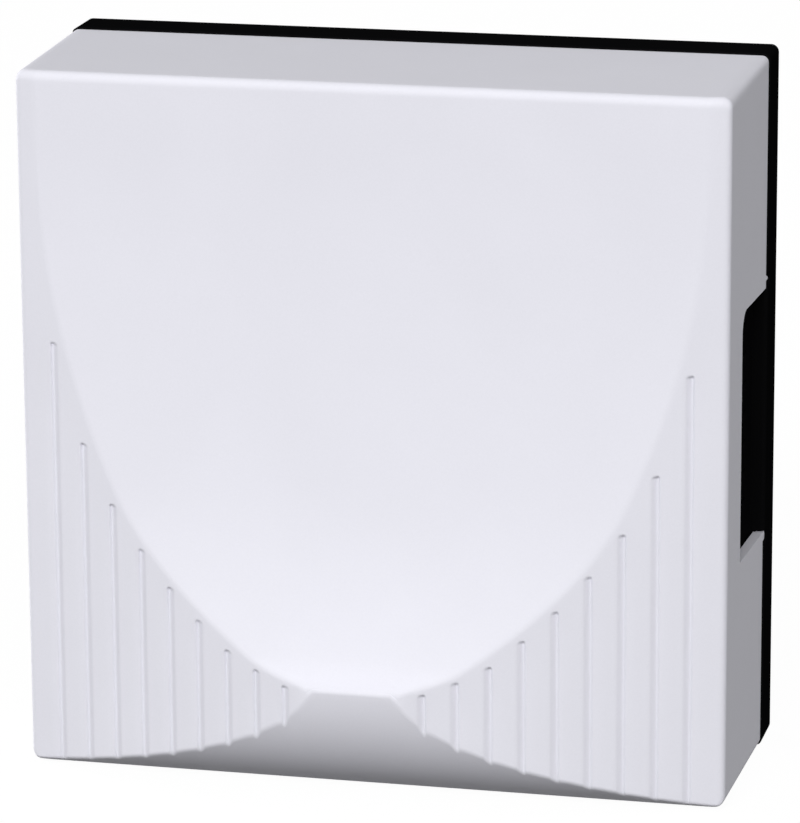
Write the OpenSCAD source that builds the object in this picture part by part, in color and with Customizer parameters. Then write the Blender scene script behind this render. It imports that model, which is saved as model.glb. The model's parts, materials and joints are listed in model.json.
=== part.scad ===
// Two-note door chime: a white sculpted cover on a black wall tray, with a solenoid between two tone plates.
// The box is drawn lying on its back: x to the right, y up the wall, z out from the wall.
// on_wall() then stands it up, so that the back face lies on the plane y = 0 and the front faces -y.

/* [Tray] */
// Width of the black tray
base_w = 130; // [122:1:150]
// Height of the black tray
base_h = 130; // [124:1:150]
// Depth of the tray's rim, from the wall to the seam with the cover
base_depth = 9.5; // [8:0.5:13]
// Thickness of the tray's floor
floor_t = 2.5; // [2:0.1:3.5]
// Thickness of the tray's rim
rim_t = 3; // [2.6:0.1:4]
// Rounding of the tray's four corners
corner_r = 1.4; // [1:0.1:3]
// Rounding of the rim's front edge
rim_edge_r = 0.8; // [0.4:0.1:1.2]
// Height of the locating lip above the rim
lip_rise = 3; // [2:0.5:5]
// Thickness of the lip and of the side screens
screen_t = 1.6; // [1.2:0.1:2]
// Distance from the wall to the front edge of the side screens
screen_depth = 38; // [36:0.5:40]
// Width of each sound slot in the side screens
sound_slot_w = 2.4; // [1.5:0.1:3]
// Pitch of the sound slots
sound_slot_pitch = 5.5; // [4.5:0.1:7]
// Length of each sound slot
sound_slot_len = 20; // [12:1:22]
// Least distance from a sound slot to a peg's shoulder
sound_slot_margin = 1; // [0.5:0.5:3]
// Height of a screen beyond its outer peg's shoulder
screen_margin = 2; // [1:0.5:4]

/* [Wall fixing] */
// Distance between the two wall screw slots
wall_slot_pitch = 60; // [40:1:80]
// Half the width of a wall screw slot
wall_slot_r = 2.1; // [1.6:0.1:2.6]
// Length of a wall screw slot from end to end
wall_slot_len = 8; // [6:0.5:12]
// Distance of the wall screw slots below the tray's top edge
wall_slot_down = 21; // [17:1:26]
// Radius of the cable hole
cable_r = 5; // [3.5:0.1:5.5]
// Gap between the cable hole's collar and the terminal block
cable_gap = 1; // [0.5:0.1:1.5]
// Height of the collars round the holes in the floor
collar_h = 1.2; // [0.6:0.1:2]
// Width of the collars round the holes in the floor
collar_w = 1.6; // [1:0.1:2]

/* [Cover shell] */
// Step from the tray's side in to the cover's side
cover_step = 0.3; // [0:0.1:1]
// Wall thickness of the cover
cover_wall = 1.8; // [1.4:0.1:2.2]
// Draft of the cover's sides, degrees
cover_draft = 0.5; // [0.2:0.1:1.5]
// Distance from the wall to the cover's front edges
front_depth = 46.4; // [45:0.1:60]
// Rounding of the cover's front edges
edge_r = 2; // [1:0.1:3]
// Rounding of the cover's four corners at the seam
cover_corner_r = 1.2; // [0.8:0.1:3.5]
// Open seam between cover and tray
seam_gap = 0.1; // [0.05:0.05:0.3]
// Clearance between the cover and what stands inside it
cover_gap = 0.4; // [0.3:0.1:0.8]

/* [Sculpted front] */
// Height of the flat top of the panel above the front edges
panel_rise = 1.1; // [0.5:0.1:2]
// Radius of the panel's first, slow curve
panel_r1 = 478; // [400:1:550]
// Angle at the end of the first curve
panel_a1 = 7.2; // [6:0.1:8.4]
// Radius of the panel's second curve
panel_r2 = 115; // [90:1:140]
// Angle at the end of the second curve
panel_a2 = 22; // [20:0.5:25]
// Radius of the curl at the panel's lip
panel_r3 = 9.4; // [7:0.1:12]
// Angle at the end of the curl
panel_a3 = 57.5; // [50:0.5:65]
// Height of the lip above the cover's bottom edge
lip_height = 22.3; // [18:0.1:28]
// Rounding of the lip's edge
lip_r = 1.2; // [0.6:0.1:1.8]
// Bulge of the hollow underside beyond a straight line
underside_bulge = 3.45; // [2:0.05:5]
// Slope of the grooved side facets, degrees
facet_angle = 15.6; // [13:0.1:18]

/* [Grooves] */
// Distance from the centre line to the first groove
groove_first = 12.4; // [10:0.1:14]
// Pitch of the grooves
groove_pitch = 5.6; // [4.5:0.1:7]
// Least distance from the last groove to the cover's side
groove_margin = 6; // [4:0.5:10]
// Radius of a groove's round bottom
groove_r = 1.2; // [0.6:0.05:1.5]
// Depth of a groove
groove_depth = 0.4; // [0.2:0.05:0.55]
// Distance from the panel's crease to the groove ends
groove_gap = 1.65; // [1:0.05:3]

/* [Side notches] */
// Height of the notch's top edge at the seam, above the centre
notch_top = 22.1; // [18:0.1:26]
// Depth of the notch's bottom edge at the seam, below the centre
notch_bottom = 23.8; // [18:0.1:26]
// Rise of both edges towards the front
notch_slant = 1.1; // [0:0.1:2]
// Distance from the wall to the notch's front edge
notch_depth = 35.4; // [28:0.1:36]
// Rounding of the notch's upper front corner
notch_r = 4; // [2:0.1:6]
// Width of a locating pip
pip_w = 2; // [1.2:0.1:3]
// Length of a locating pip behind the seam
pip_len = 2.3; // [1.5:0.1:3]
// Thickness of a locating pip
pip_t = 1.2; // [0.8:0.1:1.4]
// Clearance round a locating pip
pip_gap = 0.4; // [0.3:0.05:0.6]
// Distance from the notch's top edge up to the upper pip
pip_above = 0.5; // [0.2:0.1:2]
// Distance from the notch's bottom edge down to the lower pip
pip_below = 0.2; // [0.2:0.1:2]

/* [Tone plates] */
// Thickness of the tone plates
plate_t = 2; // [1.6:0.1:2.4]
// Width of the tone plates
plate_w = 28; // [22:0.5:32]
// Length of the left plate, the low note
left_plate_len = 100; // [84:1:108]
// Length of the right plate, the high note
right_plate_len = 88; // [76:1:100]
// Still points of a plate, as a share of its length from each end
still_share = 0.224; // [0.2:0.001:0.25]
// Distance from a screen to its plate
plate_stand = 5; // [4:0.1:7]
// Radius of a plate's corners
plate_corner_r = 2; // [0.5:0.1:4]
// Radius of the pegs that carry the plates
peg_r = 2; // [1.5:0.1:2.4]
// Radius of the shoulder at the foot of a peg
shoulder_r = 4.5; // [3.5:0.1:5.5]
// Radius of a grommet's neck
grommet_neck_r = 3.8; // [3.4:0.1:4.4]
// Radius of a grommet's flanges
grommet_r = 6; // [5:0.1:7]
// Thickness of a grommet's flange
grommet_flange = 1.2; // [0.8:0.1:1.8]
// Radius of a push-on clip
clip_r = 4; // [3.2:0.1:5]
// Thickness of a push-on clip
clip_t = 0.8; // [0.5:0.1:1.2]
// Length of a peg beyond its clip
peg_out = 1; // [0.5:0.1:2]

/* [Coil] */
// Distance from the wall to the coil's axis
coil_z = 22; // [20.5:0.1:24]
// Length of the spool
spool_len = 44; // [38:0.5:46]
// Radius of the spool's flanges
flange_r = 15; // [13.5:0.1:15.5]
// Thickness of the spool's flanges
flange_t = 1.6; // [1.4:0.1:2.2]
// Wall of the spool's barrel
barrel_wall = 1.4; // [1:0.1:2]
// Radius of the wound wire
winding_r = 12.4; // [10:0.1:12.6]
// Thickness of the tape over the wire
tape_t = 0.4; // [0.2:0.1:0.6]
// Wall of the brass guide tube
tube_wall = 0.6; // [0.4:0.1:1]
// Clearance between pieces that are fitted together
fit_gap = 0.1; // [0.05:0.05:0.15]
// Thickness of the yoke's steel
yoke_t = 1.5; // [1.2:0.1:2]
// Width of the yoke
yoke_w = 20; // [16:0.5:22]
// Width of the yoke's screw ears
ear_w = 10; // [9:0.5:14]
// Bend radius inside the yoke's corners
yoke_bend = 0.6; // [0.3:0.1:1]
// Gap between the spool's flanges and the yoke's web
yoke_gap = 0.5; // [0.3:0.1:1]
// Gap between a yoke screw's head and the spool's flanges
ear_gap = 1; // [0.5:0.1:3]
// Radius of a lead pin
pin_r = 0.5; // [0.4:0.05:0.6]
// Length of a lead pin outside the flange
pin_out = 3; // [2:0.1:4]
// Length of a lead pin inside the flange
pin_in = 3; // [1.5:0.1:4]

/* [Plunger] */
// Radius of the steel plunger
plunger_r = 4; // [3.5:0.1:4.5]
// Length of the steel plunger
plunger_len = 56; // [48:0.5:62]
// Chamfer at the plunger's ends
plunger_chamfer = 0.5; // [0.2:0.1:0.8]
// Running clearance round the plunger
plunger_gap = 0.3; // [0.2:0.05:0.4]
// Travel of the plunger when the coil pulls it
strike_travel = 8; // [6:0.5:8]
// Travel of the plunger past its rest place when it springs back
rebound_travel = 2.5; // [1.5:0.1:4]
// Distance left between a striker and its plate at the end of the travel
strike_gap = 0.3; // [0.3:0.1:0.6]
// Radius of the nylon strikers
striker_r = 2.5; // [2:0.1:3]
// Radius of a striker's spigot in the plunger
spigot_r = 1.5; // [1:0.1:1.7]
// Length of a striker's spigot
spigot_len = 6; // [4:0.5:8]
// Length of the plunger behind the spring clip
clip_margin = 3; // [2:0.1:5]
// How far the spring clip reaches beyond the spring
clip_rim = 0.7; // [0.4:0.1:1.2]
// Thickness of the spring clip
spring_clip_t = 1.1; // [0.8:0.1:1.6]
// Depth of the clip's groove in the plunger
clip_groove = 0.9; // [0.5:0.1:1.2]
// Half the width of the spring clip's mouth, as a share of its inner radius
clip_mouth = 0.8; // [0.6:0.05:0.9]

/* [Return spring] */
// Length of the spring at rest
spring_len = 12; // [11.5:0.1:14]
// Distance from the yoke's bore to the inside of the spring
spring_seat = 0.3; // [0.2:0.05:0.5]
// Diameter of the spring wire
spring_wire = 0.6; // [0.4:0.05:0.65]
// Number of turns
spring_turns = 6; // [5:1:6]
// Pitch of the first and the last turn
spring_end_pitch = 1.1; // [1.1:0.05:1.3]

/* [Terminal block] */
// Number of terminals
ways = 3; // [2:1:3]
// Pitch of the terminals
way_pitch = 11; // [10:0.5:12]
// Height of the block, measured up the wall
block_h = 13; // [12:0.5:15]
// Depth of the block's body, measured out from the floor
block_depth = 11; // [10.5:0.5:14]
// Distance of the block's middle above the tray's bottom edge
block_up = 26; // [25:0.5:28]
// Width of a screw ear at each end of the block
block_ear_w = 8; // [7.5:0.5:10]
// Thickness of the block's screw ears
block_ear_t = 4; // [3:0.5:5]
// Thickness of the walls between terminals
partition_t = 1.6; // [1:0.1:2]
// Height of those walls above the block
partition_h = 2; // [1:0.1:3]
// Radius of a brass wire clamp
clamp_r = 2.6; // [2.4:0.1:2.9]
// Radius of the bell wire's hole in a clamp
clamp_bore_r = 1.4; // [1.2:0.1:1.6]
// Depth of the bell wire's hole
clamp_bore_len = 7; // [6.5:0.1:8]
// Distance from the block's sides to the ends of a clamp
clamp_inset = 1; // [0.5:0.1:2]
// Distance from the floor to the wire holes
clamp_z = 4.5; // [4:0.1:5]
// Radius of a clamp screw's shank
clamp_screw_r = 1.2; // [1:0.1:1.3]
// Radius of a clamp screw's head
clamp_head_r = 2.4; // [2:0.1:2.8]
// Height of a clamp screw's head
clamp_head_h = 1.8; // [1.2:0.1:2.2]
// Radius of the insulated leads
lead_r = 0.8; // [0.6:0.05:1]
// Length of a lead inside its clamp
lead_in = 2; // [1:0.1:2.2]
// Straight pull at each end of a lead's bend
lead_bend = 9; // [6:0.5:12]

/* [Screws] */
// Radius of a fixing screw's shank
screw_r = 1.45; // [1.2:0.05:1.6]
// Radius of a fixing screw's head
head_r = 2.9; // [2.4:0.1:3.2]
// Height of a fixing screw's head
head_h = 1.9; // [1.4:0.1:2.4]
// Thickness of the floor left behind a fixing screw's hole
screw_floor = 1.4; // [0.8:0.1:1.8]
// Radius of the bosses that take the yoke's screws
boss_r = 4; // [3.4:0.1:4.6]
// Width of a screw driver slot
driver_w = 0.8; // [0.5:0.1:1]
// Depth of a screw driver slot
driver_depth = 0.9; // [0.5:0.1:1.2]
// Reach of a screw driver slot, as a share of the head's radius
driver_reach = 0.6; // [0.5:0.05:0.7]

/* [Hidden] */
$fn = 48;
// How far a cutter runs past the face that it cuts
past = 1;
// Length that is longer than any side of the box
reach = 2 * max(base_w, base_h);
// Steps in a rounded edge of the cover's outline
edge_steps = 6;
// Facets of the panel's slow curves and of the underside
panel_facets = 720;
underside_facets = 180;
// Half the run over which the crease's slope is taken
slope_run = 0.5;
// How far the front outline stands off the drafted sides, so that it trims only the corners
outline_slack = 0.05;

// Cover, measured at the seam and at the front edges
seam_z = base_depth + seam_gap;
draft_k = tan(cover_draft);
facet_k = tan(facet_angle);
half_w = base_w / 2 - cover_step;
half_h = base_h / 2 - cover_step;
edge_half_w = half_w - draft_k * (front_depth - seam_z);
edge_half_h = half_h - draft_k * (front_depth - seam_z);

// Panel curve, as points of z and y: three arcs that follow on from each other and end at the lip
function polar(r, a) = r * [cos(a), sin(a)];
panel_top_y = -edge_half_h + lip_height + panel_r1 * sin(panel_a1)
    + panel_r2 * (sin(panel_a2) - sin(panel_a1)) + panel_r3 * (sin(panel_a3) - sin(panel_a2));
panel_c1 = [front_depth + panel_rise + panel_r1, panel_top_y];
panel_c2 = panel_c1 - polar(panel_r1 - panel_r2, panel_a1);
panel_c3 = panel_c2 - polar(panel_r2 - panel_r3, panel_a2);
lip_point = panel_c3 - polar(panel_r3, panel_a3);

// Underside, an arc from the lip to the bottom edge
bottom_point = [front_depth, -edge_half_h];
underside_chord = norm(lip_point - bottom_point);
underside_r = pow(underside_chord, 2) / (8 * underside_bulge) + underside_bulge / 2;
chord_dir = (lip_point - bottom_point) / underside_chord;
underside_c = (lip_point + bottom_point) / 2
    + (underside_r - underside_bulge) * [-chord_dir[1], chord_dir[0]];

// Height of the panel's crease at a distance x from the centre line
function arc_y(c, r, z) = c[1] - sqrt(max(0, r * r - pow(c[0] - z, 2)));
function facet_z(x) = front_depth + facet_k * (edge_half_w - x);
function crease_y(x) =
    facet_z(x) < (panel_c1 - polar(panel_r1, panel_a1))[0] ? arc_y(panel_c1, panel_r1, facet_z(x)) :
    facet_z(x) < (panel_c2 - polar(panel_r2, panel_a2))[0] ? arc_y(panel_c2, panel_r2, facet_z(x)) :
    arc_y(panel_c3, panel_r3, facet_z(x));
function crease_slope(x) = (crease_y(x - slope_run) - crease_y(x + slope_run)) / (2 * slope_run);
function groove_top(x) = crease_y(x) - groove_gap * sqrt(1 + pow(crease_slope(x), 2));
groove_count = floor((edge_half_w - groove_margin - groove_first) / groove_pitch) + 1;

// Lip and screens that stand inside the cover
lip_half_w = half_w - cover_wall - draft_k * (screen_depth - seam_z) - cover_gap;
lip_half_h = half_h - cover_wall - draft_k * (base_depth + lip_rise - seam_z) - cover_gap;
screen_in = lip_half_w - screen_t;

// Tone plates
plate_out_x = screen_in - plate_stand;
plate_in_x = plate_out_x - plate_t;
function still_y(len) = len / 2 - still_share * len;
screen_half_h = still_y(max(left_plate_len, right_plate_len)) + shoulder_r + screen_margin;
clip_x = plate_in_x - grommet_flange - fit_gap;
peg_end_x = clip_x - fit_gap - clip_t - peg_out;

// Coil
tube_in_r = plunger_r + plunger_gap;
tube_r = tube_in_r + tube_wall;
bore_r = tube_r + fit_gap;
barrel_r = bore_r + barrel_wall;
leg_x = spool_len / 2 + fit_gap;
leg_out_x = leg_x + yoke_t;
web_top = coil_z - flange_r - yoke_gap;
boss_top = web_top - yoke_t;
ear_y = flange_r + head_r + ear_gap;
yoke_screw_len = web_top - screw_floor - fit_gap;

// Return spring, which stands on the yoke's left leg, and the clip that it pushes on
spring_r = bore_r + spring_seat + spring_wire / 2;
spring_clip_r = spring_r + spring_wire / 2 + clip_rim;

// Plunger, from left to right
spring_x = -(leg_out_x + fit_gap);
spring_clip_x = spring_x - spring_len - fit_gap;
core_left = spring_clip_x - spring_clip_t - clip_margin;
core_right = core_left + plunger_len;
left_tip = -(plate_in_x - strike_gap - rebound_travel);
right_tip = plate_in_x - strike_gap - strike_travel;

// Terminal block
block_w = ways * way_pitch + partition_t;
block_ear_x = (block_w + block_ear_w) / 2;
block_y = base_h / 2 - block_up;
block_screw_len = floor_t + block_ear_t - screw_floor - fit_gap;

// Holes in the floor
wall_slot_y = base_h / 2 - wall_slot_down;
cable_y = -(block_y + block_h / 2 + cable_gap + collar_w + cable_r);

// Locating pips of the cover, just outside the notches
pip_places = [notch_top + pip_above + pip_w / 2, -(notch_bottom + pip_below + pip_w / 2)];

module on_wall() {
    rotate([90, 0, 0]) children();
}

// Turns a cylinder or a revolved shape to lie along x
module along_x() {
    rotate([0, 90, 0]) children();
}

// Extrudes an outline of x and z along y
module plan_extrude() {
    rotate([90, 0, 0]) linear_extrude(reach, center = true) children();
}

// Extrudes an outline of z and y along x
module side_extrude(len = reach) {
    rotate([0, -90, 0]) linear_extrude(len, center = true) children();
}

module mirrored_x() {
    children();
    mirror([1, 0, 0]) children();
}

function unit(v) = v / norm(v);

// What a round of radius r takes off the corner p, whose edges run towards a and b
module corner_cut(p, a, b, r) {
    u = unit(a - p);
    v = unit(b - p);
    inward = unit(u + v);
    half_angle = acos(u * v) / 2;
    c = p + inward * r / sin(half_angle);
    run = r / tan(half_angle);
    difference() {
        polygon([c, p + u * run, p - inward * r, p + v * run]);
        translate(c) rotate(atan2(inward[1], inward[0])) circle(r);
    }
}

module rounded_square(w, h, r) {
    square([w - 2 * r, h], center = true);
    square([w, h - 2 * r], center = true);
    for (i = [-1, 1], j = [-1, 1])
        translate([i * (w / 2 - r), j * (h / 2 - r)]) circle(r);
}

module slot_2d(len, r) {
    square([len - 2 * r, 2 * r], center = true);
    for (i = [-1, 1])
        translate([i * (len / 2 - r), 0]) circle(r);
}

module ring(r_out, r_in, h) {
    rotate_extrude() translate([r_in, 0]) square([r_out - r_in, h]);
}

// Shortest turn from one angle to another
function turn(from, to) = (to - from + 540) % 360 - 180;

// Points along a round of radius r at the corner p, whose edges run towards a and b
function corner_arc(p, a, b, r) =
    let (u = unit(a - p), v = unit(b - p), half_angle = acos(u * v) / 2,
         c = p + unit(u + v) * r / sin(half_angle),
         first = p + u * r / tan(half_angle) - c, last = p + v * r / tan(half_angle) - c,
         start = atan2(first[1], first[0]), sweep = turn(start, atan2(last[1], last[0])))
    [for (i = [0 : edge_steps]) c + polar(r, start + sweep * i / edge_steps)];

// Outside corners are rounded in steps, and the corners of the hollow inside stay sharp
function corner_points(p, a, b, r, inset) = inset > 0 ? [p] : corner_arc(p, a, b, r);

// Sides and grooved facets of the cover, set in by inset, as an outline of x and z
module plan_outline(inset, z_low) {
    side = inset / cos(cover_draft);
    top = inset / cos(facet_angle);
    rise = (facet_k * side - top) / (1 - facet_k * draft_k);
    low = [half_w - side - draft_k * (z_low - seam_z), z_low];
    corner = [edge_half_w - side - draft_k * rise, front_depth + rise];
    peak = [0, facet_z(0) - top];
    right = concat([low], corner_points(corner, low, peak, edge_r, inset));
    left = [for (i = [len(right) - 1 : -1 : 0]) [-right[i][0], right[i][1]]];
    polygon(concat(right, [peak], left));
}

// Outline of the cover seen from the front, set in by inset
module front_outline(inset) {
    x = half_w - inset + outline_slack;
    y = half_h - inset + outline_slack;
    corners = [[x, y], [-x, y], [-x, -y], [x, -y]];
    polygon([for (i = [0 : 3])
        each corner_points(corners[i], corners[(i + 3) % 4], corners[(i + 1) % 4], cover_corner_r, inset)]);
}

// Top, panel, lip and underside of the cover, set in by inset, as an outline of z and y
module side_outline(inset, z_low) {
    z_high = lip_point[0] + past;
    side = inset / cos(cover_draft);
    face_z = front_depth + panel_rise - inset;
    top_low = [z_low, half_h - side - draft_k * (z_low - seam_z)];
    top_high = [z_high, half_h - side - draft_k * (z_high - seam_z)];
    face_top = [face_z, half_h - side - draft_k * (face_z - seam_z)];
    radii = [panel_r1, panel_r2, panel_r3] + inset * [1, 1, 1];
    centres = [panel_c1, panel_c2, panel_c3];
    ends = [(panel_c1 - polar(radii[0], panel_a1))[1], (panel_c2 - polar(radii[1], panel_a2))[1], -reach];
    difference() {
        intersection() {
            polygon([top_low, top_high, [top_high[0], -top_high[1]], [top_low[0], -top_low[1]]]);
            union() {
                translate([z_low - past, -reach]) square([underside_c[0] - z_low + past, 2 * reach]);
                translate([z_low - past, underside_c[1]]) square([reach, reach]);
                translate(underside_c) rotate(180) circle(underside_r - inset, $fn = underside_facets);
            }
        }
        translate([face_z, panel_top_y]) square([reach, reach]);
        for (i = [0 : 2])
            intersection() {
                translate(centres[i]) circle(radii[i], $fn = panel_facets);
                translate([z_low, ends[i]]) square([reach, 2 * reach]);
            }
        if (inset == 0) {
            corner_cut(face_top, top_low, [face_z, 0], edge_r);
            lip_round();
        }
    }
}

// What the round on the lip's edge takes off, between the curl and the underside
module lip_round() {
    d = norm(panel_c3 - underside_c);
    to_curl = panel_r3 + lip_r;
    to_under = underside_r - lip_r;
    along = (to_under * to_under - to_curl * to_curl + d * d) / (2 * d);
    across = sqrt(to_under * to_under - along * along);
    dir = (panel_c3 - underside_c) / d;
    c = underside_c + along * dir + across * [dir[1], -dir[0]];
    past_tip = norm(lip_point - c) + lip_r;
    difference() {
        polygon([c, c + lip_r * unit(panel_c3 - c), c + past_tip * unit(lip_point - c),
                 c + lip_r * unit(c - underside_c)]);
        translate(c) rotate(180) circle(lip_r);
    }
}

module cover_form(inset, z_low) {
    intersection() {
        plan_extrude() plan_outline(inset, z_low);
        side_extrude() side_outline(inset, z_low);
        linear_extrude(reach) front_outline(inset);
    }
}

// Round-ended cutter for one groove, at a distance x from the centre line
module groove(x) {
    out = groove_r - groove_depth;
    translate([x + out * sin(facet_angle), groove_top(x), facet_z(x) + out * cos(facet_angle)]) {
        sphere(groove_r);
        rotate([90, 0, 0]) cylinder(h = reach, r = groove_r);
    }
}

// Opening in the cover's sides, as an outline of z and y
module notch_outline() {
    low_z = seam_z - past;
    top_low = [low_z, notch_top];
    top_high = [notch_depth, notch_top + notch_slant];
    difference() {
        polygon([top_low, top_high, [notch_depth, notch_slant - notch_bottom], [low_z, -notch_bottom]]);
        corner_cut(top_high, top_low, [notch_depth, 0], notch_r);
    }
}

// Tab with a round end that reaches behind the cover's seam; gap makes the recess that takes it
module pip(y, gap) {
    r = pip_w / 2 + gap;
    x = half_w - pip_t - gap;
    z_end = seam_z - pip_len;
    translate([x, y, z_end + pip_w / 2]) {
        along_x() cylinder(h = pip_t + 2 * gap, r = r);
        translate([0, -r, 0]) cube([pip_t + 2 * gap, 2 * r, pip_len - pip_w / 2 + past]);
    }
}

module cover() {
    color("#e7e7ee") on_wall() {
        difference() {
            cover_form(0, seam_z);
            cover_form(cover_wall, seam_z - past);
            side_extrude() notch_outline();
            mirrored_x()
                for (i = [0 : groove_count - 1])
                    groove(groove_first + i * groove_pitch);
        }
        mirrored_x()
            for (y = pip_places) pip(y, 0);
    }
}

module tray_form() {
    x = base_w / 2;
    y = base_h / 2;
    intersection() {
        plan_extrude() difference() {
            translate([-x, 0]) square([2 * x, base_depth]);
            mirrored_x() corner_cut([x, base_depth], [x, 0], [0, base_depth], rim_edge_r);
        }
        side_extrude() difference() {
            translate([0, -y]) square([base_depth, 2 * y]);
            for (s = [-1, 1])
                corner_cut([base_depth, s * y], [0, s * y], [base_depth, 0], rim_edge_r);
        }
        linear_extrude(base_depth) rounded_square(base_w, base_h, corner_r);
    }
}

// Peg with a shoulder, standing on the right screen at height y
module peg(y) {
    translate([screen_in, y, coil_z]) rotate([0, -90, 0]) {
        translate([0, 0, -screen_t / 2])
            cylinder(h = plate_stand - grommet_flange - fit_gap + screen_t / 2, r = shoulder_r);
        cylinder(h = screen_in - peg_end_x, r = peg_r);
    }
}

module side_screen(plate_len) {
    slots = floor((2 * still_y(plate_len) - 2 * shoulder_r - sound_slot_w - 2 * sound_slot_margin)
                  / sound_slot_pitch);
    slot_z = (base_depth + lip_rise + screen_depth) / 2;
    difference() {
        translate([screen_in, -screen_half_h, floor_t / 2])
            cube([screen_t, 2 * screen_half_h, screen_depth - floor_t / 2]);
        for (i = [0 : slots])
            translate([lip_half_w, (i - slots / 2) * sound_slot_pitch, slot_z])
                side_extrude(2 * (screen_t + past)) slot_2d(sound_slot_len, sound_slot_w / 2);
    }
    for (s = [-1, 1]) peg(s * still_y(plate_len));
}

module base_plate() {
    color("#151516") on_wall() difference() {
        union() {
            difference() {
                tray_form();
                translate([0, 0, floor_t])
                    linear_extrude(reach) square([base_w - 2 * rim_t, base_h - 2 * rim_t], center = true);
            }
            translate([0, 0, floor_t / 2]) linear_extrude(base_depth + lip_rise - floor_t / 2) difference() {
                square(2 * [lip_half_w, lip_half_h], center = true);
                square(2 * [screen_in, lip_half_h - screen_t], center = true);
            }
            side_screen(right_plate_len);
            mirror([1, 0, 0]) side_screen(left_plate_len);
            for (s = [-1, 1])
                translate([0, s * ear_y, floor_t / 2]) cylinder(h = boss_top - floor_t / 2, r = boss_r);
            for (s = [-1, 1])
                translate([s * wall_slot_pitch / 2, wall_slot_y, floor_t / 2])
                    linear_extrude(floor_t / 2 + collar_h)
                        slot_2d(wall_slot_len + 2 * collar_w, wall_slot_r + collar_w);
            translate([0, cable_y, floor_t / 2]) cylinder(h = floor_t / 2 + collar_h, r = cable_r + collar_w);
        }
        for (s = [-1, 1])
            translate([s * wall_slot_pitch / 2, wall_slot_y, -past])
                linear_extrude(reach) slot_2d(wall_slot_len, wall_slot_r);
        translate([0, cable_y, -past]) cylinder(h = reach, r = cable_r);
        for (s = [-1, 1])
            translate([0, s * ear_y, screw_floor])
                cylinder(h = reach, r = screw_r + fit_gap);
        for (s = [-1, 1])
            translate([s * block_ear_x, -block_y, screw_floor])
                cylinder(h = reach, r = screw_r + fit_gap);
        mirrored_x()
            for (y = pip_places) pip(y, pip_gap);
    }
}

// Flat bar that faces the plunger, with a hole at each still point
module tone_plate(len) {
    translate([plate_in_x, 0, coil_z]) rotate([0, 90, 0]) linear_extrude(plate_t) difference() {
        rounded_square(plate_w, len, plate_corner_r);
        for (s = [-1, 1])
            translate([0, s * still_y(len)]) circle(grommet_neck_r + fit_gap);
    }
}

module grommets(len) {
    hole_r = peg_r + fit_gap;
    neck = plate_t + 2 * fit_gap;
    for (s = [-1, 1])
        translate([plate_in_x - fit_gap - grommet_flange, s * still_y(len), coil_z])
            along_x() rotate_extrude() {
                translate([hole_r, 0]) square([grommet_neck_r - hole_r, neck + 2 * grommet_flange]);
                for (z = [0, grommet_flange + neck])
                    translate([hole_r, z]) square([grommet_r - hole_r, grommet_flange]);
            }
}

// Push-on washers with three teeth cut in their bore
module plate_clips(len) {
    slot_w = peg_r / 2;
    for (s = [-1, 1])
        translate([clip_x - fit_gap - clip_t, s * still_y(len), coil_z]) along_x() difference() {
            ring(clip_r, peg_r + fit_gap / 2, clip_t);
            for (a = [0, 120, 240])
                rotate(a) translate([0, -slot_w / 2, -past]) cube([(peg_r + clip_r) / 2, slot_w, reach]);
        }
}

module left_tone_plate() {
    color("#9a9da1") on_wall() mirror([1, 0, 0]) tone_plate(left_plate_len);
}

module right_tone_plate() {
    color("#9a9da1") on_wall() tone_plate(right_plate_len);
}

module left_plate_grommets() {
    color("#2b2b2d") on_wall() mirror([1, 0, 0]) grommets(left_plate_len);
}

module right_plate_grommets() {
    color("#2b2b2d") on_wall() grommets(right_plate_len);
}

module left_plate_clips() {
    color("#b9b9b4") on_wall() mirror([1, 0, 0]) plate_clips(left_plate_len);
}

module right_plate_clips() {
    color("#b9b9b4") on_wall() plate_clips(right_plate_len);
}

module coil_bobbin() {
    color("#e9e2cf") on_wall() translate([0, 0, coil_z]) difference() {
        translate([-spool_len / 2, 0, 0]) along_x() rotate_extrude() {
            translate([bore_r, 0]) square([barrel_wall, spool_len]);
            for (z = [0, spool_len - flange_t])
                translate([bore_r, z]) square([flange_r - bore_r, flange_t]);
        }
        mirrored_x()
            translate([(spool_len - flange_t) / 2, -(flange_r - pin_in - fit_gap), 0])
                rotate([90, 0, 0]) cylinder(h = reach, r = pin_r + fit_gap);
    }
}

module coil_winding() {
    len = spool_len - 2 * flange_t - 2 * fit_gap;
    color("#a8592a") on_wall() translate([-len / 2, 0, coil_z])
        along_x() ring(winding_r, barrel_r + fit_gap, len);
}

module coil_tape() {
    len = spool_len - 2 * flange_t - 2 * fit_gap;
    color("#d9b44a") on_wall() translate([-len / 2, 0, coil_z])
        along_x() ring(winding_r + fit_gap + tape_t, winding_r + fit_gap, len);
}

module lead_pins() {
    color("#c9a44c") on_wall() mirrored_x()
        translate([(spool_len - flange_t) / 2, -(flange_r - pin_in), coil_z])
            rotate([90, 0, 0]) cylinder(h = pin_in + pin_out, r = pin_r);
}

module guide_tube() {
    color("#c9a44c") on_wall() translate([-leg_out_x, 0, coil_z])
        along_x() ring(tube_r, tube_in_r, 2 * leg_out_x);
}

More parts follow.
